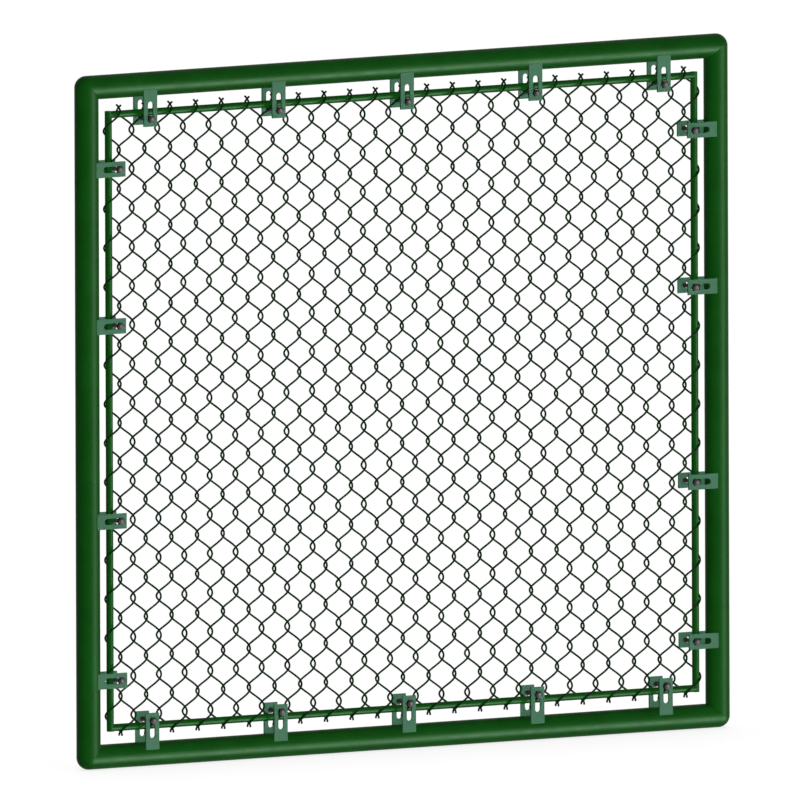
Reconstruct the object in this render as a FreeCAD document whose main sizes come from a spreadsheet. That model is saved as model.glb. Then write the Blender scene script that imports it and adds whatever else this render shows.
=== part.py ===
import FreeCAD, Part
import math
import os
import Sketcher

# Chain link fence panel: a round tube frame with ball corners, an inner frame of thin rods threaded
# through a woven wire fabric, and slotted plate brackets whose bolts hold the rods.
# X runs along the panel, Y away from its front and Z up. The origin is under the middle of the lower tube.

SIZES = {
    # Tube frame, measured between tube axes
    "frame_width": 1790.0,
    "frame_height": 1660.0,
    "tube_diameter": 60.0,
    "tube_wall": 2.5,
    # Rod frame, set in from the tube axes
    "rod_diameter": 18.0,
    "side_rod_inset": 62.0,
    "end_rod_inset": 70.0,
    # Woven fabric: knots along the top rod, loops down each side rod, and slack where spirals hook
    "wire_diameter": 5.0,
    "wire_clearance": 0.2,
    "knot_count": 23,
    "loop_count": 16,
    "loop_play": 0.6,
    "wide_slack": 5.2,
    "narrow_slack": 0.6,
    "bend_rise": 15.0,
    "top_row_rise": 13.4,
    "bottom_row_drop": 13.8,
    # Wire ends, crossed above the top rod and left straight below the bottom rod
    "knot_gap": 6.5,
    "tail_height": 4.3,
    "tail_reach": 6.0,
    "tail_drop": 6.5,
    # Brackets: a front and a back plate, coped to the tube, with a slot that runs back from the bolt
    "plate_width": 38.0,
    "plate_thickness": 5.0,
    "plate_setback": 2.5,
    "plate_end_wall": 11.6,
    "slot_clearance": 2.4,
    "slot_travel": 36.0,
    "bracket_knot_step": 5,
    "bracket_shift": 2.6,
    # Bolts and nuts
    "bolt_diameter": 10.0,
    "bolt_clearance": 0.3,
    "nut_clearance": 0.1,
    "nut_wall": 3.5,
    "head_height": 6.4,
    "nut_height": 8.0,
    "bolt_projection": 2.5,
}

# Sizes that follow from the ones above. The wire is a square bar with the round wire's section area.
DERIVED = {
    "tube_radius": "tube_diameter / 2",
    "tube_bore": "tube_radius - tube_wall",
    "rod_radius": "rod_diameter / 2",
    "low_axis": "tube_radius",
    "high_axis": "low_axis + frame_height",
    "rod_side": "frame_width / 2 - side_rod_inset",
    "rod_low": "low_axis + end_rod_inset",
    "rod_high": "high_axis - end_rod_inset",
    "wire_radius": "wire_diameter / 2 * sqrt(pi / 2)",
    "wire_depth": "rod_radius + wire_radius + wire_clearance",
    "wide_hook": "2 * wire_radius + wide_slack",
    "narrow_hook": "2 * wire_radius + narrow_slack",
    "loop_edge": "rod_side + wire_depth + loop_play",
    "half_pitch": "(2 * loop_edge - wide_hook) / (2 * knot_count)",
    "wire_width": "half_pitch + (wide_hook + narrow_hook) / 2",
    "top_row": "rod_high + top_row_rise",
    "row_pitch": "(top_row - rod_low + bottom_row_drop) / loop_count",
    "knot_rise": "rod_radius + knot_gap",
    "tail_rise": "knot_rise + tail_height",
    "bolt_radius": "bolt_diameter / 2",
    "bolt_offset": "rod_radius + bolt_radius + bolt_clearance",
    "plate_face": "tube_radius - plate_setback",
    "plate_back": "plate_face - plate_thickness",
    "slot_width": "bolt_diameter + 2 * slot_clearance",
    "plate_end": "slot_width / 2 + plate_end_wall",
    "side_bolt_place": "side_rod_inset + bolt_offset",
    "end_bolt_place": "end_rod_inset + bolt_offset",
    "bolt_length": "2 * plate_face + nut_height + bolt_projection",
    "hex_radius": "(bolt_diameter + 2 * nut_wall) / sqrt(3)",
}

# Places of the side brackets in rows of the fabric, counted down from the top row, each near an outer loop
SIDE_BRACKET_ROWS = (1.52, 5.54, 10.54, 14.63)
# Brackets along the top and bottom, counted from the middle one
END_BRACKET_STEPS = (-2, -1, 0, 1, 2)
FABRIC_NODES = ("fabric_left", "fabric_mid_left", "fabric_mid_right", "fabric_right")
WIRE_SIDES = 4

vector = FreeCAD.Vector
doc = FreeCAD.newDocument("chain_link_fence_panel")


def fill_sheet():
    """The spreadsheet of driving and derived sizes."""
    new_sheet = doc.addObject("Spreadsheet::Sheet", "sizes")
    cells = {name: str(value) for name, value in SIZES.items()}
    cells.update({name: f"={formula}" for name, formula in DERIVED.items()})
    for row, (name, text) in enumerate(cells.items(), 1):
        new_sheet.set(f"A{row}", name)
        new_sheet.set(f"B{row}", text)
        new_sheet.setAlias(f"B{row}", name)
    doc.recompute()
    return new_sheet


sheet = fill_sheet()


def size(name):
    """One size from the sheet, as a number."""
    return float(getattr(sheet, name))


def on_sheet(formula):
    """A formula whose size names, set apart by spaces, point to the sheet."""
    words = formula.split()
    return " ".join(f"sizes.{word}" if hasattr(sheet, word) else word for word in words)


def bind(thing, **formulas):
    """Bind properties of a document object to the sheet."""
    for name, formula in formulas.items():
        thing.setExpression(name, on_sheet(formula))


def place(thing, x="0", y="0", z="0", turn=None):
    """Turn a document object and bind its position to the sheet."""
    thing.Placement = FreeCAD.Placement(vector(), turn or FreeCAD.Rotation())
    for axis, formula in (("x", x), ("y", y), ("z", z)):
        thing.setExpression(f"Placement.Base.{axis}", on_sheet(formula))


def about_x(degrees):
    return FreeCAD.Rotation(vector(1, 0, 0), degrees)


def about_y(degrees):
    return FreeCAD.Rotation(vector(0, 1, 0), degrees)


def about_z(degrees):
    return FreeCAD.Rotation(vector(0, 0, 1), degrees)


def new_sketch(body, name, plane):
    """A sketch of the body, flat on one of its origin planes."""
    sketch = body.newObject("Sketcher::SketchObject", name)
    planes = [feature for feature in body.Origin.OriginFeatures if feature.Role == plane]
    sketch.AttachmentSupport = [(planes[0], "")]
    sketch.MapMode = "FlatFace"
    return sketch


def bind_constraint(sketch, constraint, formula):
    index = sketch.addConstraint(constraint)
    sketch.setExpression(f"Constraints[{index}]", on_sheet(formula))


def draw_circle(sketch, radius):
    """A circle about the sketch's origin."""
    circle = sketch.addGeometry(Part.Circle(vector(), vector(0, 0, 1), size(radius)))
    sketch.addConstraint(Sketcher.Constraint("Coincident", circle, 3, -1, 1))
    bind_constraint(sketch, Sketcher.Constraint("Radius", circle, size(radius)), radius)


def draw_outline(sketch, corners):
    """A closed outline of straight lines, each corner bound to a pair of formulas."""
    count = len(corners)
    ring = [about_z(360 * step / count).multVec(vector(1, 0, 0)) for step in range(count)]
    first = sketch.addGeometry(Part.LineSegment(ring[0], ring[1]))
    for step in range(1, count):
        sketch.addGeometry(Part.LineSegment(ring[step], ring[(step + 1) % count]))
    for step, (across, up) in enumerate(corners):
        line = first + step
        sketch.addConstraint(Sketcher.Constraint("Coincident", line, 2, first + (step + 1) % count, 1))
        bind_constraint(sketch, Sketcher.Constraint("DistanceX", -1, 1, line, 1, ring[step].x), across)
        bind_constraint(sketch, Sketcher.Constraint("DistanceY", -1, 1, line, 1, ring[step].y), up)


def pad(body, sketch, length):
    """Material either side of a sketch."""
    feature = body.newObject("PartDesign::Pad", f"{sketch.Name}_pad")
    feature.Profile = sketch
    feature.Midplane = True
    bind(feature, Length=length)
    body.Tip = feature
    return feature


def pocket(body, sketch):
    """A cut right through the body, both ways from a sketch."""
    feature = body.newObject("PartDesign::Pocket", f"{sketch.Name}_pocket")
    feature.Profile = sketch
    feature.Type = "ThroughAll"
    feature.Midplane = True
    body.Tip = feature
    return feature


def make_tube(label, length):
    """One side of the tube frame along X, its lower half mitred to meet the tubes at its ends."""
    body = doc.addObject("PartDesign::Body", label)
    section = new_sketch(body, f"{label}_section", "YZ_Plane")
    draw_circle(section, "tube_radius")
    draw_circle(section, "tube_bore")
    pad(body, section, length)
    mitre = new_sketch(body, f"{label}_mitre", "XZ_Plane")
    for end in ("-1", "1"):
        corners = (
            (f"{end} * {length} / 2", "0"),
            (f"{end} * {length} / 2", "-1 * tube_diameter"),
            (f"{end} * ( {length} / 2 - tube_diameter )", "-1 * tube_diameter"),
        )
        draw_outline(mitre, corners)
    pocket(body, mitre)
    return body


def make_corner(label):
    """The outside quarter of a hollow ball, between the square ends of two tubes."""
    body = doc.addObject("PartDesign::Body", label)
    sketch = new_sketch(body, f"{label}_wall", "XY_Plane")
    arcs = []
    for radius in ("tube_radius", "tube_bore"):
        circle = Part.Circle(vector(), vector(0, 0, 1), size(radius))
        arc = sketch.addGeometry(Part.ArcOfCircle(circle, -math.pi / 2, math.pi / 2))
        sketch.addConstraint(Sketcher.Constraint("Coincident", arc, 3, -1, 1))
        bind_constraint(sketch, Sketcher.Constraint("Radius", arc, size(radius)), radius)
        arcs.append(arc)
    outer, inner = arcs
    for end, side in ((1, -1), (2, 1)):
        start = vector(0, side * size("tube_bore"), 0)
        line = sketch.addGeometry(Part.LineSegment(start, vector(0, side * size("tube_radius"), 0)))
        sketch.addConstraint(Sketcher.Constraint("Coincident", line, 1, inner, end))
        sketch.addConstraint(Sketcher.Constraint("Coincident", line, 2, outer, end))
        sketch.addConstraint(Sketcher.Constraint("PointOnObject", line, 1, -2))
        sketch.addConstraint(Sketcher.Constraint("PointOnObject", line, 2, -2))
    wall = body.newObject("PartDesign::Revolution", f"{label}_ball")
    wall.Profile = sketch
    wall.ReferenceAxis = (sketch, ["V_Axis"])
    wall.Angle = 90
    wall.Reversed = True
    body.Tip = wall
    return body


def make_bracket(label, bolt_place):
    """The two plates of one bracket, below a tube along X through the origin."""
    body = doc.addObject("PartDesign::Body", label)
    plates = new_sketch(body, f"{label}_plates", "YZ_Plane")
    for side in ("-1", "1"):
        corners = (
            (f"{side} * plate_back", "0"),
            (f"{side} * plate_face", "0"),
            (f"{side} * plate_face", f"-1 * ( {bolt_place} + plate_end )"),
            (f"{side} * plate_back", f"-1 * ( {bolt_place} + plate_end )"),
        )
        draw_outline(plates, corners)
    pad(body, plates, "plate_width")
    cope = new_sketch(body, f"{label}_cope", "YZ_Plane")
    draw_circle(cope, "tube_radius")
    pocket(body, cope)
    slot = new_sketch(body, f"{label}_slot", "XZ_Plane")
    draw_slot(slot, bolt_place)
    pocket(body, slot)
    return body


def draw_slot(sketch, bolt_place):
    """An upright slot with round ends, below the sketch's origin and up from the bolt's place."""
    half_width = size("slot_width") / 2
    low = vector(0, -size(bolt_place), 0)
    top = low + vector(0, size("slot_travel"), 0)
    axis = vector(0, 0, 1)
    upper = sketch.addGeometry(Part.ArcOfCircle(Part.Circle(top, axis, half_width), 0, math.pi))
    lower = sketch.addGeometry(Part.ArcOfCircle(Part.Circle(low, axis, half_width), math.pi, 2 * math.pi))
    reach = vector(half_width, 0, 0)
    left = sketch.addGeometry(Part.LineSegment(top - reach, low - reach))
    right = sketch.addGeometry(Part.LineSegment(low + reach, top + reach))
    for first, first_end, second, second_end in (
        (upper, 2, left, 1),
        (left, 2, lower, 1),
        (lower, 2, right, 1),
        (right, 2, upper, 1),
    ):
        sketch.addConstraint(Sketcher.Constraint("Tangent", first, first_end, second, second_end))
    for arc, centre, depth in ((upper, top, f"{bolt_place} - slot_travel"), (lower, low, bolt_place)):
        sketch.addConstraint(Sketcher.Constraint("PointOnObject", arc, 3, -2))
        bind_constraint(sketch, Sketcher.Constraint("DistanceY", arc, 3, -1, 1, -centre.y), depth)
    bind_constraint(sketch, Sketcher.Constraint("Radius", upper, half_width), "slot_width / 2")


def make_rod(label, length):
    """A round bar along its own Z."""
    rod = doc.addObject("Part::Cylinder", label)
    bind(rod, Radius="rod_radius", Height=length)
    return rod


def make_rod_frame():
    """Two full-height side rods, and end rods that are saddled to butt between them."""
    left = make_rod("left_rod", "rod_high - rod_low + rod_diameter")
    place(left, x="-1 * rod_side", z="rod_low - rod_radius")
    right = make_rod("right_rod", "rod_high - rod_low + rod_diameter")
    place(right, x="rod_side", z="rod_low - rod_radius")
    sides = doc.addObject("Part::Compound", "side_rods")
    sides.Links = [left, right]
    ends = []
    for label, height in (("top_rod", "rod_high"), ("bottom_rod", "rod_low")):
        bar = make_rod(f"{label}_bar", "2 * rod_side")
        place(bar, x="-1 * rod_side", z=height, turn=about_y(90))
        rod = doc.addObject("Part::Cut", label)
        rod.Base = bar
        rod.Tool = sides
        ends.append(rod)
    return [left, right, *ends]


def wire_corners():
    """Corners of the spiral left of a knot at x = 0, from its crossed top end down to its bottom end.

    Going up, the spiral crosses to the right in front of the rods and back to the left behind them.
    """
    depth = size("wire_depth")
    half_bend = size("bend_rise") / 2
    knot_side = size("narrow_hook") / 2
    loop_side = knot_side - size("wire_width")
    rod = size("rod_high")
    cross_depth = size("wire_radius") + size("wire_clearance")
    tail_slope = (size("tail_rise") - size("knot_rise")) / size("tail_reach")
    knot_start = size("wire_diameter") / 2
    corners = [
        vector(-size("tail_reach"), -cross_depth, rod + size("tail_rise")),
        vector(knot_start, -cross_depth, rod + size("knot_rise") - knot_start * tail_slope),
        vector(knot_side, -depth, size("top_row") - half_bend),
    ]
    half_rows = 2 * round(size("loop_count"))
    for step in range(1, half_rows):
        height = size("top_row") - step * size("row_pitch") / 2
        at_loop = step % 2 == 1
        across = loop_side if at_loop else knot_side
        upper = -depth if at_loop else depth
        corners.append(vector(across, upper, height + half_bend))
        corners.append(vector(across, -upper, height - half_bend))
    bottom_row = size("rod_low") - size("bottom_row_drop")
    corners.append(vector(knot_side, depth, bottom_row + half_bend))
    corners.append(vector(knot_side, 0, size("rod_low") - depth - size("tail_drop")))
    return corners


def make_wire():
    """One flattened spiral of the fabric, a bar of few sides mitred at each bend."""
    corners = wire_corners()
    path = doc.addObject("Part::Feature", "wire_path")
    path.Shape = Part.makePolygon(corners)
    section = doc.addObject("Part::RegularPolygon", "wire_section")
    section.Polygon = WIRE_SIDES
    bind(section, Circumradius="wire_radius")
    section.Placement = FreeCAD.Placement(
        corners[0], FreeCAD.Rotation(vector(0, 0, 1), corners[1] - corners[0])
    )
    wire = doc.addObject("Part::Sweep", "wire")
    wire.Sections = [section]
    wire.Spine = (path, [])
    wire.Transition = "Right corner"
    wire.Solid = True
    return wire


def make_node(label, copies):
    """One named piece made of copies that don't touch."""
    node = doc.addObject("Part::Compound", label)
    node.Links = copies
    return node


def make_copy(label, source, x, z, turn=None):
    """A copy of a modelled piece, moved in the panel's plane."""
    link = doc.addObject("App::Link", label)
    link.LinkedObject = source
    place(link, x=x, z=z, turn=turn)
    return link


def make_fabric(wire):
    """The spirals in pairs, one each side of every knot, shared out among the fabric's nodes."""
    knots = round(size("knot_count"))
    spirals = []
    for knot in range(knots):
        across = f"( {2 * knot} - knot_count + 1 ) * half_pitch"
        spirals.append(make_copy(f"spiral_{2 * knot}", wire, across, "0"))
        spirals.append(make_copy(f"spiral_{2 * knot + 1}", wire, across, "0", about_z(180)))
    share = len(spirals) / len(FABRIC_NODES)
    nodes = []
    for index, label in enumerate(FABRIC_NODES):
        nodes.append(make_node(label, spirals[round(index * share) : round((index + 1) * share)]))
    return nodes


def make_bolt():
    """A hexagon bolt along Y, its head seated on the back plate."""
    shank = doc.addObject("Part::Cylinder", "bolt_shank")
    bind(shank, Radius="bolt_radius", Height="bolt_length")
    place(shank, y="plate_face", turn=about_x(90))
    head = doc.addObject("Part::Prism", "bolt_head")
    head.Polygon = 6
    bind(head, Circumradius="hex_radius", Height="head_height")
    place(head, y="plate_face", turn=about_x(-90))
    bolt = doc.addObject("Part::MultiFuse", "bolt")
    bolt.Shapes = [shank, head]
    return bolt


def make_nut():
    """A hexagon nut along Y, seated on the front plate."""
    block = doc.addObject("Part::Prism", "nut_block")
    block.Polygon = 6
    bind(block, Circumradius="hex_radius", Height="nut_height")
    place(block, y="-1 * plate_face", turn=about_x(90))
    hole = doc.addObject("Part::Cylinder", "nut_hole")
    bind(hole, Radius="bolt_radius + nut_clearance", Height="nut_height")
    place(hole, y="-1 * plate_face", turn=about_x(90))
    nut = doc.addObject("Part::Cut", "nut")
    nut.Base = block
    nut.Tool = hole
    return nut


def make_tube_frame():
    """Four mitred tubes and the four ball corners outside their joints."""
    nodes = []
    for label, length, x, z, degrees in (
        ("top_tube", "frame_width", "0", "high_axis", 0),
        ("bottom_tube", "frame_width", "0", "low_axis", 180),
        ("left_tube", "frame_height", "-1 * frame_width / 2", "low_axis + frame_height / 2", -90),
        ("right_tube", "frame_height", "frame_width / 2", "low_axis + frame_height / 2", 90),
    ):
        tube = make_tube(label, length)
        place(tube, x=x, z=z, turn=about_y(degrees))
        nodes.append(tube)
    for label, x, z, degrees in (
        ("top_right_corner", "frame_width / 2", "high_axis", 0),
        ("bottom_right_corner", "frame_width / 2", "low_axis", 90),
        ("bottom_left_corner", "-1 * frame_width / 2", "low_axis", 180),
        ("top_left_corner", "-1 * frame_width / 2", "high_axis", -90),
    ):
        corner = make_corner(label)
        place(corner, x=x, z=z, turn=about_y(degrees))
        nodes.append(corner)
    return nodes


def bracket_rows():
    """For each side of the panel: the brackets' places on the tube axis, and their bolts' places."""
    across = [f"{step} * bracket_knot_step * 2 * half_pitch + bracket_shift" for step in END_BRACKET_STEPS]
    heights = [f"top_row - {row} * row_pitch" for row in SIDE_BRACKET_ROWS]
    return {
        "top": (0, [(x, "high_axis", x, "rod_high - bolt_offset") for x in across]),
        "bottom": (180, [(x, "low_axis", x, "rod_low + bolt_offset") for x in across]),
        "left": (-90, [("-1 * frame_width / 2", z, "bolt_offset - rod_side", z) for z in heights]),
        "right": (90, [("frame_width / 2", z, "rod_side - bolt_offset", z) for z in heights]),
    }


def make_brackets():
    """A bracket node for each place, and the bolts and nuts of each side as nodes of their own."""
    end_bracket = make_bracket("end_bracket", "end_bolt_place")
    side_bracket = make_bracket("side_bracket", "side_bolt_place")
    bolt = make_bolt()
    nut = make_nut()
    nodes = []
    for side, (degrees, places) in bracket_rows().items():
        bracket = end_bracket if side in ("top", "bottom") else side_bracket
        bolts = []
        nuts = []
        for count, (tube_x, tube_z, bolt_x, bolt_z) in enumerate(places, 1):
            node = make_node(f"{side}_bracket_{count}", [bracket])
            place(node, x=tube_x, z=tube_z, turn=about_y(degrees))
            nodes.append(node)
            bolts.append(make_copy(f"{side}_bolt_{count}", bolt, bolt_x, bolt_z))
            nuts.append(make_copy(f"{side}_nut_{count}", nut, bolt_x, bolt_z))
        nodes.append(make_node(f"{side}_bolts", bolts))
        nodes.append(make_node(f"{side}_nuts", nuts))
    return nodes


def export(nodes):
    """Check every document object, then write each node to its own file."""
    doc.recompute()
    for item in doc.Objects:
        if "Invalid" in item.State or "Error" in item.State:
            raise RuntimeError(f"{item.Label} did not recompute: {item.State}")
    os.makedirs("parts", exist_ok=True)
    for node in nodes:
        shape = node.Shape
        if shape.isNull() or not shape.isValid() or not shape.Solids:
            raise RuntimeError(f"{node.Label} has no valid solid")
        shape.exportStep(f"parts/{node.Label}.step")
        print(node.Label, len(shape.Solids), "solids", round(shape.Volume), "mm3")


export(make_tube_frame() + make_rod_frame() + make_fabric(make_wire()) + make_brackets())
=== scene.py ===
import math

import bmesh
import bpy
from mathutils import Matrix, Quaternion, Vector


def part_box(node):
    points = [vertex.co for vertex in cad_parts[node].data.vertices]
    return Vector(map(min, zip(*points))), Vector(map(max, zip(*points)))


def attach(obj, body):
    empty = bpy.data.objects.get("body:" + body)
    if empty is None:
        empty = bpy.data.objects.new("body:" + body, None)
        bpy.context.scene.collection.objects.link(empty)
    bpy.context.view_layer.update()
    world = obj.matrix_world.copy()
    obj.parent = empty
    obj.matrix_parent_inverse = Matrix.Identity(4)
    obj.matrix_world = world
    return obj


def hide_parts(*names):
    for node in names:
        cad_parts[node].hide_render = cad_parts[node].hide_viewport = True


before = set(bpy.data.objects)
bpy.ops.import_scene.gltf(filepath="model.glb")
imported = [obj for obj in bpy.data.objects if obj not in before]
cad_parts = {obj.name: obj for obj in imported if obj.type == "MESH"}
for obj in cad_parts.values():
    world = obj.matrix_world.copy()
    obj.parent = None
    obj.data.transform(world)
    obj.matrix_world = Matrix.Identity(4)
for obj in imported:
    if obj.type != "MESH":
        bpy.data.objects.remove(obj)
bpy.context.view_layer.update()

# Chain link fence panel. Every size is in metres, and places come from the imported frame.
# X runs along the panel, Y away from its front and Z up.


def middle(node):
    low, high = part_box(node)
    return (low + high) / 2


def extent(node):
    low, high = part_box(node)
    return high - low


def to_tenth(length):
    """A length rounded to a tenth of a millimetre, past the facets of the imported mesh."""
    return round(length, 4)


# Tube and rod frames
TUBE_RADIUS = to_tenth(extent("top_tube").y / 2)
TUBE_WALL = 0.0025
FRAME_SIDE = to_tenth(middle("right_tube").x)
FRAME_LOW = to_tenth(middle("bottom_tube").z)
FRAME_HIGH = to_tenth(middle("top_tube").z)
FRAME_MIDDLE = (FRAME_LOW + FRAME_HIGH) / 2
ROD_RADIUS = to_tenth(extent("top_rod").y / 2)
ROD_SIDE = to_tenth(middle("right_rod").x)
ROD_LOW = to_tenth(middle("bottom_rod").z)
ROD_HIGH = to_tenth(middle("top_rod").z)
ROD_CHAMFER = 0.0008
TUBE_SIDES = 72
ROD_SIDES = 40

# Brackets, whose places set the pitch of the fabric: five knots from one to the next along the top
END_BRACKETS = 5
SIDE_BRACKETS = 4
PLATE_WIDTH = to_tenth(extent("top_bracket_3").x)
PLATE_FACE = to_tenth(extent("top_bracket_3").y / 2)
PLATE_THICKNESS = 0.005
PLATE_BACK = PLATE_FACE - PLATE_THICKNESS
PLATE_END_WALL = 0.0116
PLATE_BEVEL = 0.0006
BEVEL_ANGLE = math.radians(40)
BEVEL_SEGMENTS = 2
SLOT_RADIUS = 0.0074
SLOT_TRAVEL = 0.036
SLOT_STEPS = 12
END_BOLT_PLACE = to_tenth(FRAME_HIGH - middle("top_nuts").z)
SIDE_BOLT_PLACE = to_tenth(FRAME_SIDE - middle("right_nuts").x)
KNOTS_PER_BRACKET = 5
END_SPAN = middle("top_bracket_5").x - middle("top_bracket_1").x
HALF_PITCH = END_SPAN / (2 * KNOTS_PER_BRACKET * (END_BRACKETS - 1))

# Woven fabric of round wire: spirals of oval section, whose rows count down from the crossing above
# the top rod
FIRST_BRACKET_ROW = 1.52
LAST_BRACKET_ROW = 14.63
BRACKET_SPAN = middle("left_bracket_1").z - middle("left_bracket_4").z
ROW_PITCH = BRACKET_SPAN / (LAST_BRACKET_ROW - FIRST_BRACKET_ROW)
TOP_ROW = middle("left_bracket_1").z + FIRST_BRACKET_ROW * ROW_PITCH
WIRE_RADIUS = 0.0025
WIRE_SIDES = 10
WIRE_CLEARANCE = 0.0002
TURN_STEPS = 24
KNOTS = 23
NARROW_HOOK = 0.0051
WIDE_HOOK = 0.0096
SPIRAL_HALF = (HALF_PITCH + (NARROW_HOOK + WIDE_HOOK) / 2) / 2
SPIRAL_DEPTH = 0.0151
TOP_END_RISE = 0.0232
LOW_END_DROP = 0.0205
WIRE_TOP = ROD_HIGH + TOP_END_RISE
WIRE_LOW = ROD_LOW - LOW_END_DROP
WIRE_END_ROUNDING = 0.25
FABRIC_NODES = ("fabric_left", "fabric_mid_left", "fabric_mid_right", "fabric_right")

# Bolts and nuts
BOLT_RADIUS = 0.005
BOLT_TIP = -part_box("top_bolts")[0].y
HEAD_HEIGHT = to_tenth(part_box("top_bolts")[1].y - PLATE_FACE)
NUT_HEIGHT = 0.008
HEX_APOTHEM = 0.0085
HEX_CHAMFER = math.radians(30)
HEX_SIDES = 48
HEX_FLAT_SHARE = 0.97
THREAD_PITCH = 0.0015
THREAD_DEPTH = 0.0008
THREAD_LENGTH = 0.022
RINGS_PER_THREAD = 4
SHANK_SIDES = 24

SHARP_ANGLE = math.radians(35)

# Paint
DUST_COLOUR = (0.22, 0.24, 0.2)
DUST_SHARE = 0.04
GREEN_SHEEN = (0.45, 1, 0.5, 1)

# View
CAMERA_AZIMUTH = math.radians(-30)
CAMERA_ELEVATION = math.radians(6.4)
CAMERA_ROLL = math.radians(-0.19)
CAMERA_DISTANCE = 8.0
VIEW_WIDTH = 1.971
VIEW_OFFSET = Vector((-0.0049, 0.0037))

# Stage: the floor, the even light, and lamps with a direction as shares of the view's right, up and back,
# a width in degrees and a strength
FLOOR_REACH = 60
FLOOR_COLOUR = (0.9, 0.9, 0.89)
FLOOR_GLOW = 0.8
EVEN_LIGHT = 0.05
KEY_LAMP = ((0.42, -0.2, 0.885), 20, 2.6)
FILL_LAMP = ((0, 0.1, 1), 15, 0.3)
GLEAM_LAMP = ((0.86, -0.45, 0.24), 30, 27)
REAR_LAMP = ((0, 0.3, -0.95), 40, 2.4)
OVERHEAD_WIDTH = 30
OVERHEAD_STRENGTH = math.pi


# Meshes


class Shape:
    """Vertices and faces of a mesh in the making."""

    def __init__(self):
        self.points = []
        self.faces = []

    def ring(self, points):
        """Adds a ring of points and returns their numbers."""
        start = len(self.points)
        self.points.extend(points)
        return list(range(start, len(self.points)))

    def bridge(self, first, second):
        """Joins two rings of as many points with quads."""
        count = len(first)
        for step in range(count):
            after = (step + 1) % count
            self.faces.append((first[step], first[after], second[after], second[step]))

    def skin(self, rings):
        for first, second in zip(rings, rings[1:]):
            self.bridge(first, second)

    def cap(self, ring, reverse=False):
        self.faces.append(tuple(reversed(ring)) if reverse else tuple(ring))


def add_piece(name, mesh, material, node):
    """An object that rides on the panel and stands for one CAD node."""
    mesh.materials.append(material)
    piece = bpy.data.objects.new(name, mesh)
    bpy.context.scene.collection.objects.link(piece)
    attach(piece, "root")
    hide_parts(node)
    return piece


def make_piece(name, shape, material, node):
    """A smooth piece, with sharp edges where its faces turn by more than a little."""
    mesh = bpy.data.meshes.new(name)
    mesh.from_pydata(shape.points, [], shape.faces)
    edit = bmesh.new()
    edit.from_mesh(mesh)
    bmesh.ops.recalc_face_normals(edit, faces=edit.faces)
    edit.to_mesh(mesh)
    edit.free()
    mesh.shade_smooth()
    mesh.set_sharp_from_angle(angle=SHARP_ANGLE)
    return add_piece(name, mesh, material, node)


def circle(radius, sides):
    """Pairs of a circle's cosine and sine parts."""
    angles = [2 * math.pi * step / sides for step in range(sides)]
    return [(radius * math.cos(angle), radius * math.sin(angle)) for angle in angles]


def placed(points, turn, place):
    return [turn @ point + place for point in points]


def about(axis, degrees):
    return Matrix.Rotation(math.radians(degrees), 3, axis)


# Tube frame


def tube_shape(length, turn, place):
    """A tube along X whose lower half is mitred to meet the tubes at its ends."""
    shape = Shape()
    rings = []
    for radius, order in ((TUBE_RADIUS, (-1, 1)), (TUBE_RADIUS - TUBE_WALL, (1, -1))):
        section = circle(radius, TUBE_SIDES)
        for end in order:
            points = [Vector((end * (length / 2 + min(up, 0)), out, up)) for out, up in section]
            rings.append(shape.ring(placed(points, turn, place)))
    shape.skin(rings + rings[:1])
    return shape


def corner_shape(turn, place):
    """The outside quarter of a hollow ball that closes a corner of the frame."""
    shape = Shape()
    walls = []
    across = TUBE_SIDES // 2
    around = TUBE_SIDES // 4
    for radius in (TUBE_RADIUS, TUBE_RADIUS - TUBE_WALL):
        rows = []
        for step in range(around + 1):
            lean = math.pi / 2 * step / around
            points = []
            for side in range(1, across):
                swing = math.pi * side / across
                reach = radius * math.sin(swing)
                out = -radius * math.cos(swing)
                points.append(Vector((reach * math.cos(lean), out, reach * math.sin(lean))))
            rows.append(shape.ring(placed(points, turn, place)))
        poles = [
            shape.ring(placed([Vector((0, pole * radius, 0))], turn, place))[0] for pole in (-1, 1)
        ]
        walls.append((rows, poles))
    for rows, poles in walls:
        for first, second in zip(rows, rows[1:]):
            for side in range(len(first) - 1):
                shape.faces.append((first[side], first[side + 1], second[side + 1], second[side]))
            shape.faces.append((poles[0], first[0], second[0]))
            shape.faces.append((poles[1], second[-1], first[-1]))
    (outer, outer_poles), (inner, inner_poles) = walls
    for edge in (0, -1):
        outline = [outer_poles[0], *outer[edge], outer_poles[1]]
        inline = [inner_poles[0], *inner[edge], inner_poles[1]]
        for step in range(len(outline) - 1):
            shape.faces.append((outline[step], outline[step + 1], inline[step + 1], inline[step]))
    return shape


def add_tube_frame(paint):
    width = 2 * FRAME_SIDE
    height = FRAME_HIGH - FRAME_LOW
    for node, length, x, z, degrees in (
        ("top_tube", width, 0, FRAME_HIGH, 0),
        ("bottom_tube", width, 0, FRAME_LOW, 180),
        ("left_tube", height, -FRAME_SIDE, FRAME_MIDDLE, -90),
        ("right_tube", height, FRAME_SIDE, FRAME_MIDDLE, 90),
    ):
        shape = tube_shape(length, about("Y", degrees), Vector((x, 0, z)))
        make_piece(f"painted_{node}", shape, paint, node)
    for node, x, z, degrees in (
        ("top_right_corner", FRAME_SIDE, FRAME_HIGH, 0),
        ("bottom_right_corner", FRAME_SIDE, FRAME_LOW, 90),
        ("bottom_left_corner", -FRAME_SIDE, FRAME_LOW, 180),
        ("top_left_corner", -FRAME_SIDE, FRAME_HIGH, -90),
    ):
        shape = corner_shape(about("Y", degrees), Vector((x, 0, z)))
        make_piece(f"painted_{node}", shape, paint, node)


# Rod frame


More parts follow.
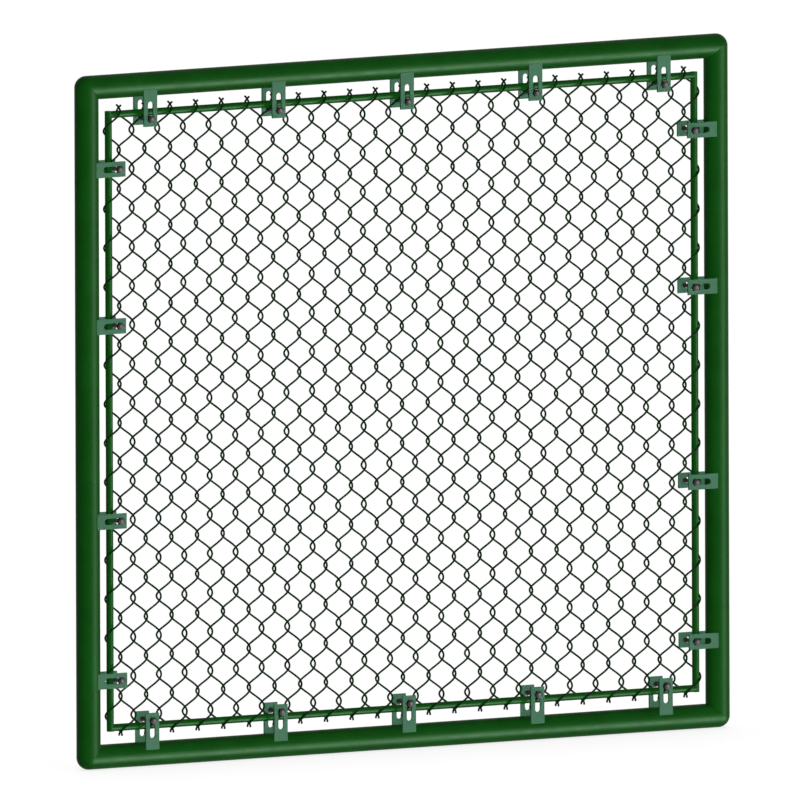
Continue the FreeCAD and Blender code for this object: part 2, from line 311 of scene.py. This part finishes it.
def side_rod_shape(x):
    """An upright rod with chamfered ends."""
    shape = Shape()
    low = ROD_LOW - ROD_RADIUS
    high = ROD_HIGH + ROD_RADIUS
    rings = []
    for radius, z in (
        (ROD_RADIUS - ROD_CHAMFER, low),
        (ROD_RADIUS, low + ROD_CHAMFER),
        (ROD_RADIUS, high - ROD_CHAMFER),
        (ROD_RADIUS - ROD_CHAMFER, high),
    ):
        rings.append(shape.ring([Vector((x + a, b, z)) for a, b in circle(radius, ROD_SIDES)]))
    shape.skin(rings)
    shape.cap(rings[0], reverse=True)
    shape.cap(rings[-1])
    return shape


def end_rod_shape(z):
    """A level rod whose ends are saddled to the side rods, closed by triangles where two corners meet."""
    shape = Shape()
    section = circle(ROD_RADIUS, ROD_SIDES)
    rings = []
    for end in (-1, 1):
        points = [Vector((end * (ROD_SIDE - abs(up)), out, z + up)) for out, up in section]
        rings.append(shape.ring(points))
    shape.skin(rings)
    for ring in rings:
        half = ROD_SIDES // 2
        upper = ring[: half + 1]
        lower = [ring[0], *reversed(ring[half:])]
        for step in range(half):
            corners = (upper[step], upper[step + 1], lower[step + 1], lower[step])
            shape.faces.append(tuple(dict.fromkeys(corners)))
    return shape


def add_rod_frame(paint):
    for node, shape in (
        ("left_rod", side_rod_shape(-ROD_SIDE)),
        ("right_rod", side_rod_shape(ROD_SIDE)),
        ("top_rod", end_rod_shape(ROD_HIGH)),
        ("bottom_rod", end_rod_shape(ROD_LOW)),
    ):
        make_piece(f"painted_{node}", shape, paint, node)


# Fabric


def spiral_path():
    """Points of the spiral left of a knot at x = 0, from its bottom end up to its crossed top end.

    Going up, it crosses to the right in front of the rods and back to the left behind them.
    """
    turns = (WIRE_TOP - WIRE_LOW) / ROW_PITCH
    steps = round(turns * TURN_STEPS)
    points = []
    for step in range(steps + 1):
        z = WIRE_LOW + (WIRE_TOP - WIRE_LOW) * step / steps
        angle = 2 * math.pi * (z - TOP_ROW) / ROW_PITCH
        across = NARROW_HOOK / 2 - SPIRAL_HALF * (1 - math.cos(angle))
        points.append(Vector((across, SPIRAL_DEPTH * math.sin(angle), z)))
    return points


def clear_of_rods(point):
    """The point, moved out where the wire would cut into a rod."""
    reach = ROD_RADIUS + WIRE_RADIUS + WIRE_CLEARANCE
    for place in (Vector((0, 0, ROD_LOW)), Vector((0, 0, ROD_HIGH))):
        away = point - place
        away.x = 0
        if away.length < reach:
            point = point + away * (reach / away.length - 1)
    for place in (Vector((-ROD_SIDE, 0, 0)), Vector((ROD_SIDE, 0, 0))):
        away = point - place
        away.z = 0
        if away.length < reach:
            point = point + away * (reach / away.length - 1)
    return point


def sweep(shape, path, radius, sides):
    """A round wire along a path, with slightly rounded ends."""
    tangents = []
    for index in range(len(path)):
        before = path[max(index - 1, 0)]
        after = path[min(index + 1, len(path) - 1)]
        tangents.append((after - before).normalized())
    normal = tangents[0].orthogonal().normalized()
    section = circle(radius, sides)
    inset = WIRE_END_ROUNDING * radius
    stations = [(path[0], tangents[0], radius - inset)]
    stations.append((path[0] + inset * tangents[0], tangents[0], radius))
    stations.extend((path[index], tangents[index], radius) for index in range(1, len(path) - 1))
    stations.append((path[-1] - inset * tangents[-1], tangents[-1], radius))
    stations.append((path[-1], tangents[-1], radius - inset))
    rings = []
    for point, tangent, size in stations:
        normal = (normal - normal.dot(tangent) * tangent).normalized()
        side = tangent.cross(normal)
        share = size / radius
        rings.append(shape.ring([point + share * (a * normal + b * side) for a, b in section]))
    shape.skin(rings)
    shape.cap(rings[0], reverse=True)
    shape.cap(rings[-1])


def add_fabric(coat):
    path = spiral_path()
    turned = [Vector((-point.x, -point.y, point.z)) for point in path]
    spirals = []
    for knot in range(KNOTS):
        place = Vector(((2 * knot - KNOTS + 1) * HALF_PITCH, 0, 0))
        for points in (path, turned):
            spirals.append([clear_of_rods(point + place) for point in points])
    share = len(spirals) / len(FABRIC_NODES)
    for index, node in enumerate(FABRIC_NODES):
        shape = Shape()
        for points in spirals[round(index * share) : round((index + 1) * share)]:
            sweep(shape, points, WIRE_RADIUS, WIRE_SIDES)
        make_piece(f"woven_{node}", shape, coat, node)


# Brackets


def plate_outlines(cope, bolt_place):
    """The outer edge and the slot of a plate, in pairs: across, and away from the tube's axis."""
    half = PLATE_WIDTH / 2
    reach = bolt_place + SLOT_RADIUS + PLATE_END_WALL
    slot = []
    for centre, start in ((bolt_place - SLOT_TRAVEL, math.pi), (bolt_place, 0)):
        for step in range(SLOT_STEPS + 1):
            angle = start + math.pi * step / SLOT_STEPS
            slot.append((SLOT_RADIUS * math.cos(angle), centre + SLOT_RADIUS * math.sin(angle)))
    edge = [(-half, cope), (half, cope), (half, reach), (-half, reach)]
    return edge, slot


def cope_depth(out):
    """How far from the tube's axis a plate starts, at a distance out from its middle plane."""
    return math.sqrt(TUBE_RADIUS**2 - out**2)


def add_bracket(node, paint, turn, place, bolt_place):
    """The front and back plates of one bracket, below a tube along X before it is turned."""
    edit = bmesh.new()
    for side in (-1, 1):
        faces = []
        for out in (PLATE_BACK, PLATE_FACE):
            loops = []
            edges = []
            for outline in plate_outlines(cope_depth(out), bolt_place):
                points = [Vector((x, side * out, -depth)) for x, depth in outline]
                loop = [edit.verts.new(point) for point in placed(points, turn, place)]
                edges.extend(edit.edges.new((loop[i - 1], loop[i])) for i in range(len(loop)))
                loops.append(loop)
            bmesh.ops.triangle_fill(edit, edges=edges, use_beauty=True)
            faces.append(loops)
        for first, second in zip(*faces):
            for i in range(len(first)):
                edit.faces.new((first[i - 1], first[i], second[i], second[i - 1]))
    bmesh.ops.recalc_face_normals(edit, faces=edit.faces)
    name = f"painted_{node}"
    mesh = bpy.data.meshes.new(name)
    edit.to_mesh(mesh)
    edit.free()
    piece = add_piece(name, mesh, paint, node)
    bevel = piece.modifiers.new("edge", "BEVEL")
    bevel.width = PLATE_BEVEL
    bevel.segments = BEVEL_SEGMENTS
    bevel.limit_method = "ANGLE"
    bevel.angle_limit = BEVEL_ANGLE


def add_brackets(paint):
    for side, count, degrees, bolt_place in (
        ("top", END_BRACKETS, 0, END_BOLT_PLACE),
        ("bottom", END_BRACKETS, 180, END_BOLT_PLACE),
        ("left", SIDE_BRACKETS, -90, SIDE_BOLT_PLACE),
        ("right", SIDE_BRACKETS, 90, SIDE_BOLT_PLACE),
    ):
        for number in range(1, count + 1):
            node = f"{side}_bracket_{number}"
            spot = middle(node)
            place = {
                "top": Vector((spot.x, 0, FRAME_HIGH)),
                "bottom": Vector((spot.x, 0, FRAME_LOW)),
                "left": Vector((-FRAME_SIDE, 0, spot.z)),
                "right": Vector((FRAME_SIDE, 0, spot.z)),
            }[side]
            add_bracket(node, paint, about("Y", degrees), place, bolt_place)


# Bolts and nuts


def hex_radius(angle):
    """Distance from a hexagon's middle to its edge, with corners along X."""
    sector = math.pi / 3
    return HEX_APOTHEM / math.cos(angle % sector - sector / 2)


def hex_rings(shape, spot, start, height, bore):
    """Rings of a chamfered hexagon along -Y, from the bore at its seat round to the bore at its face."""
    flat = HEX_APOTHEM * HEX_FLAT_SHARE
    rings = []
    angles = [2 * math.pi * step / HEX_SIDES for step in range(HEX_SIDES)]

    def ring(radius_of, depth_of):
        points = []
        for angle in angles:
            radius = radius_of(angle)
            out = start - depth_of(radius)
            points.append(spot + Vector((radius * math.cos(angle), out, radius * math.sin(angle))))
        rings.append(shape.ring(points))

    fall = math.tan(HEX_CHAMFER)
    if bore:
        ring(lambda angle: bore, lambda radius: 0)
    ring(lambda angle: flat, lambda radius: 0)
    ring(hex_radius, lambda radius: (radius - flat) * fall)
    ring(hex_radius, lambda radius: height - (radius - flat) * fall)
    ring(lambda angle: flat, lambda radius: height)
    if bore:
        ring(lambda angle: bore, lambda radius: height)
    return rings


def nut_shape(shape, spot):
    """A nut seated on the front plate."""
    rings = hex_rings(shape, spot, -PLATE_FACE, NUT_HEIGHT, BOLT_RADIUS)
    shape.skin(rings + rings[:1])


def bolt_shape(shape, spot):
    """A bolt whose head sits on the back plate and whose threaded end passes the nut."""
    head = hex_rings(shape, spot, PLATE_FACE + HEAD_HEIGHT, HEAD_HEIGHT, BOLT_RADIUS)
    shape.skin(head)
    shape.cap(head[0])
    thread_start = BOLT_TIP - THREAD_LENGTH
    stations = [-PLATE_FACE, thread_start]
    count = round(THREAD_LENGTH / THREAD_PITCH * RINGS_PER_THREAD)
    stations.extend(thread_start + THREAD_LENGTH * (step + 1) / count for step in range(count))
    rings = []
    for depth in stations:
        points = []
        for step in range(SHANK_SIDES):
            angle = 2 * math.pi * step / SHANK_SIDES
            radius = BOLT_RADIUS
            if depth > thread_start:
                phase = (depth / THREAD_PITCH + step / SHANK_SIDES) % 1
                radius -= THREAD_DEPTH * abs(2 * phase - 1)
            lead = max(0, depth - BOLT_TIP + THREAD_PITCH) / THREAD_PITCH
            radius = min(radius, BOLT_RADIUS - lead * THREAD_DEPTH)
            points.append(spot + Vector((radius * math.cos(angle), -depth, radius * math.sin(angle))))
        rings.append(shape.ring(points))
    shape.skin(rings)
    shape.cap(rings[0])
    shape.cap(rings[-1])


def bolt_spots(side):
    """Where the bolts of one side of the panel cross its middle plane."""
    count = END_BRACKETS if side in ("top", "bottom") else SIDE_BRACKETS
    low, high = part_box(f"{side}_nuts")
    centre = (low + high) / 2
    spots = []
    for number in range(1, count + 1):
        bracket = middle(f"{side}_bracket_{number}")
        if side in ("top", "bottom"):
            spots.append(Vector((bracket.x, 0, centre.z)))
        else:
            spots.append(Vector((centre.x, 0, bracket.z)))
    return spots


def add_fasteners(bolt_steel, nut_steel):
    for side in ("top", "bottom", "left", "right"):
        for kind, build, steel in (("bolts", bolt_shape, bolt_steel), ("nuts", nut_shape, nut_steel)):
            shape = Shape()
            for spot in bolt_spots(side):
                build(shape, spot)
            node = f"{side}_{kind}"
            make_piece(f"steel_{node}", shape, steel, node)


# Materials


class Look:
    """The nodes of one material."""

    def __init__(self, name):
        self.material = bpy.data.materials.new(name)
        self.material.use_nodes = True
        self.nodes = self.material.node_tree.nodes
        self.links = self.material.node_tree.links
        self.shader = self.nodes["Principled BSDF"]
        self.place = self.nodes.new("ShaderNodeTexCoord").outputs["Object"]

    def noise(self, scale, detail=3.0, roughness=0.55):
        node = self.nodes.new("ShaderNodeTexNoise")
        node.inputs["Scale"].default_value = scale
        node.inputs["Detail"].default_value = detail
        node.inputs["Roughness"].default_value = roughness
        self.links.new(self.place, node.inputs["Vector"])
        return node.outputs["Fac"]

    def remap(self, value, low, high, to_low=0.0, to_high=1.0):
        node = self.nodes.new("ShaderNodeMapRange")
        self.links.new(value, node.inputs["Value"])
        for name, number in (
            ("From Min", low),
            ("From Max", high),
            ("To Min", to_low),
            ("To Max", to_high),
        ):
            node.inputs[name].default_value = number
        return node.outputs["Result"]

    def mix(self, share, first, second):
        """A mix of two colours, each a colour socket or red, green and blue."""
        node = self.nodes.new("ShaderNodeMix")
        node.data_type = "RGBA"
        self.links.new(share, node.inputs["Factor"])
        for name, colour in (("A", first), ("B", second)):
            socket = next(s for s in node.inputs if s.name == name and s.type == "RGBA")
            if isinstance(colour, tuple):
                socket.default_value = (*colour, 1)
            else:
                self.links.new(colour, socket)
        return next(s for s in node.outputs if s.type == "RGBA")

    def multiply(self, first, second):
        node = self.nodes.new("ShaderNodeMath")
        node.operation = "MULTIPLY"
        self.links.new(first, node.inputs[0])
        self.links.new(second, node.inputs[1])
        return node.outputs["Value"]

    def upward(self):
        """How far a surface faces up, from -1 to 1."""
        split = self.nodes.new("ShaderNodeSeparateXYZ")
        self.links.new(self.nodes.new("ShaderNodeNewGeometry").outputs["Normal"], split.inputs[0])
        return split.outputs["Z"]

    def bump(self, height, distance, strength):
        node = self.nodes.new("ShaderNodeBump")
        node.inputs["Strength"].default_value = strength
        node.inputs["Distance"].default_value = distance
        self.links.new(height, node.inputs["Height"])
        self.links.new(node.outputs["Normal"], self.shader.inputs["Normal"])

    def set(self, **values):
        for name, value in values.items():
            self.shader.inputs[name.replace("_", " ")].default_value = value

    def drive(self, name, value):
        self.links.new(value, self.shader.inputs[name])


def painted_metal(name, deep, bright, roughness, specular):
    """Powder coat: a little mottled, with a green sheen, fine orange peel and a trace of dust on top."""
    look = Look(name)
    mottle = look.remap(look.noise(scale=14, detail=4), 0.3, 0.7)
    coat = look.mix(mottle, deep, bright)
    flecks = look.remap(look.noise(scale=900, detail=1), 0.7, 0.8, to_high=0.35)
    pale = tuple(min(1, 2.2 * part + 0.01) for part in bright)
    coat = look.mix(flecks, coat, pale)
    on_top = look.remap(look.upward(), 0.5, 1)
    patches = look.remap(look.noise(scale=40, detail=5), 0.45, 0.8, to_high=DUST_SHARE)
    look.drive("Base Color", look.mix(look.multiply(on_top, patches), coat, DUST_COLOUR))
    smears = look.noise(scale=30, detail=3)
    look.drive("Roughness", look.remap(smears, 0.3, 0.7, roughness - 0.04, roughness + 0.05))
    look.set(Specular_IOR_Level=specular, Specular_Tint=GREEN_SHEEN)
    look.bump(look.noise(scale=420, detail=2), distance=0.0003, strength=0.25)
    return look.material


def plated_steel(name, bright, deep):
    """Plated steel, darker in patches and finely scored."""
    look = Look(name)
    patches = look.remap(look.noise(scale=160, detail=4), 0.35, 0.7)
    look.drive("Base Color", look.mix(patches, bright, deep))
    smears = look.noise(scale=300, detail=3)
    look.drive("Roughness", look.remap(smears, 0.3, 0.7, to_low=0.4, to_high=0.55))
    look.set(Metallic=0.03, Specular_IOR_Level=0.03)
    look.bump(look.noise(scale=1500, detail=2), distance=0.0001, strength=0.2)
    return look.material


# Stage


def backdrop_light(nodes, links):
    """One where a camera, glossy or transmission ray looks, and nought for the rest."""
    path = nodes.new("ShaderNodeLightPath")
    total = None
    for name in ("Is Camera Ray", "Is Glossy Ray", "Is Transmission Ray"):
        if total is None:
            total = path.outputs[name]
            continue
        both = nodes.new("ShaderNodeMath")
        both.operation = "MAXIMUM"
        links.new(total, both.inputs[0])
        links.new(path.outputs[name], both.inputs[1])
        total = both.outputs["Value"]
    return total


def add_floor():
    """A pale floor that looks white and keeps the panel's soft shadow."""
    shape = Shape()
    corners = ((-1, -1), (1, -1), (1, 1), (-1, 1))
    shape.cap(shape.ring([Vector((x * FLOOR_REACH, y * FLOOR_REACH, 0)) for x, y in corners]))
    mesh = bpy.data.meshes.new("floor")
    mesh.from_pydata(shape.points, [], shape.faces)
    floor = bpy.data.objects.new("floor", mesh)
    bpy.context.scene.collection.objects.link(floor)
    material = bpy.data.materials.new("floor")
    material.use_nodes = True
    nodes = material.node_tree.nodes
    links = material.node_tree.links
    nodes.clear()
    diffuse = nodes.new("ShaderNodeBsdfDiffuse")
    diffuse.inputs["Color"].default_value = (*FLOOR_COLOUR, 1)
    glow = nodes.new("ShaderNodeEmission")
    glow.inputs["Color"].default_value = (1, 1, 1, 1)
    glow.inputs["Strength"].default_value = 1
    share = nodes.new("ShaderNodeMath")
    share.operation = "MULTIPLY"
    share.inputs[0].default_value = FLOOR_GLOW
    links.new(backdrop_light(nodes, links), share.inputs[1])
    mix = nodes.new("ShaderNodeMixShader")
    links.new(share.outputs["Value"], mix.inputs["Fac"])
    links.new(diffuse.outputs["BSDF"], mix.inputs[1])
    links.new(glow.outputs["Emission"], mix.inputs[2])
    output = nodes.new("ShaderNodeOutputMaterial")
    links.new(mix.outputs["Shader"], output.inputs["Surface"])
    mesh.materials.append(material)
    floor.visible_shadow = False
    floor.visible_diffuse = False
    return floor


def set_world():
    """White where it is seen, and a dimmer even light on the panel."""
    world = bpy.data.worlds.new("studio")
    bpy.context.scene.world = world
    world.use_nodes = True
    nodes = world.node_tree.nodes
    links = world.node_tree.links
    background = nodes["Background"]
    background.inputs["Color"].default_value = (1, 1, 1, 1)
    strength = nodes.new("ShaderNodeMapRange")
    strength.inputs["To Min"].default_value = EVEN_LIGHT
    strength.inputs["To Max"].default_value = 1
    links.new(backdrop_light(nodes, links), strength.inputs["Value"])
    links.new(strength.outputs["Result"], background.inputs["Strength"])


def view_axes():
    """The camera's right, up and back directions."""
    level = math.cos(CAMERA_ELEVATION)
    back = Vector(
        (
            math.sin(CAMERA_AZIMUTH) * level,
            -math.cos(CAMERA_AZIMUTH) * level,
            math.sin(CAMERA_ELEVATION),
        )
    )
    right = Vector((0, 0, 1)).cross(back).normalized()
    return right, back.cross(right), back


def add_camera():
    right, up, back = view_axes()
    data = bpy.data.cameras.new("camera")
    data.type = "ORTHO"
    data.ortho_scale = VIEW_WIDTH
    camera = bpy.data.objects.new("camera", data)
    target = Vector((0, 0, FRAME_MIDDLE)) + VIEW_OFFSET.x * right + VIEW_OFFSET.y * up
    camera.location = target + CAMERA_DISTANCE * back
    camera.rotation_mode = "QUATERNION"
    aim = (-back).to_track_quat("-Z", "Y")
    camera.rotation_quaternion = aim @ Quaternion((0, 0, 1), CAMERA_ROLL)
    bpy.context.scene.collection.objects.link(camera)
    bpy.context.scene.camera = camera


def add_sun(name, toward, degrees, strength):
    """A soft far light from a direction, as wide as an angle."""
    data = bpy.data.lights.new(name, "SUN")
    data.angle = math.radians(degrees)
    data.energy = strength
    light = bpy.data.objects.new(name, data)
    light.rotation_mode = "QUATERNION"
    light.rotation_quaternion = (-toward).to_track_quat("-Z", "Y")
    bpy.context.scene.collection.objects.link(light)
    return light


def add_lamp(name, lamp):
    """A sun whose direction is given in shares of the view's axes."""
    shares, degrees, strength = lamp
    toward = sum((share * axis for share, axis in zip(shares, view_axes())), Vector())
    return add_sun(name, toward, degrees, strength)


def add_lights(floor):
    """Lamps on the panel round the view, a gleam on its paint, and a lamp over the floor alone."""
    key = add_lamp("key", KEY_LAMP)
    key.visible_glossy = False
    key.data.use_shadow = False
    fill = add_lamp("fill", FILL_LAMP)
    fill.visible_glossy = False
    gleam = add_lamp("gleam", GLEAM_LAMP)
    gleam.visible_diffuse = False
    rear = add_lamp("rear", REAR_LAMP)
    rear.visible_glossy = False
    overhead = add_sun("overhead", Vector((0, 0, 1)), OVERHEAD_WIDTH, OVERHEAD_STRENGTH)
    lit = bpy.data.collections.new("floor_light")
    lit.objects.link(floor)
    overhead.light_linking.receiver_collection = lit


frame_paint = painted_metal(
    "frame_paint",
    deep=(0.0042, 0.059, 0.0046),
    bright=(0.0058, 0.075, 0.0064),
    roughness=0.42,
    specular=0.028,
)
rod_paint = painted_metal(
    "rod_paint",
    deep=(0.0036, 0.058, 0.0040),
    bright=(0.0052, 0.073, 0.0060),
    roughness=0.42,
    specular=0.032,
)
bracket_paint = painted_metal(
    "bracket_paint",
    deep=(0.056, 0.157, 0.093),
    bright=(0.065, 0.175, 0.105),
    roughness=0.5,
    specular=0.016,
)
# The fabric wire is painted near black, far darker than the rods' green: painted shade standing in for
# the dark edges that make the thin wires look dark.
fabric_coat_painted_dark = painted_metal(
    "fabric_wire",
    deep=(0.003, 0.017, 0.004),
    bright=(0.0045, 0.024, 0.006),
    roughness=0.6,
    specular=0.02,
)
bolt_steel = plated_steel("bolt_steel", bright=(0.11, 0.1, 0.107), deep=(0.07, 0.064, 0.069))
nut_steel = plated_steel("nut_steel", bright=(0.030, 0.027, 0.030), deep=(0.020, 0.018, 0.020))

add_tube_frame(frame_paint)
add_rod_frame(rod_paint)
add_fabric(fabric_coat_painted_dark)
add_brackets(bracket_paint)
add_fasteners(bolt_steel, nut_steel)
set_world()
add_camera()
add_lights(add_floor())
bpy.context.scene.view_settings.view_transform = "Standard"
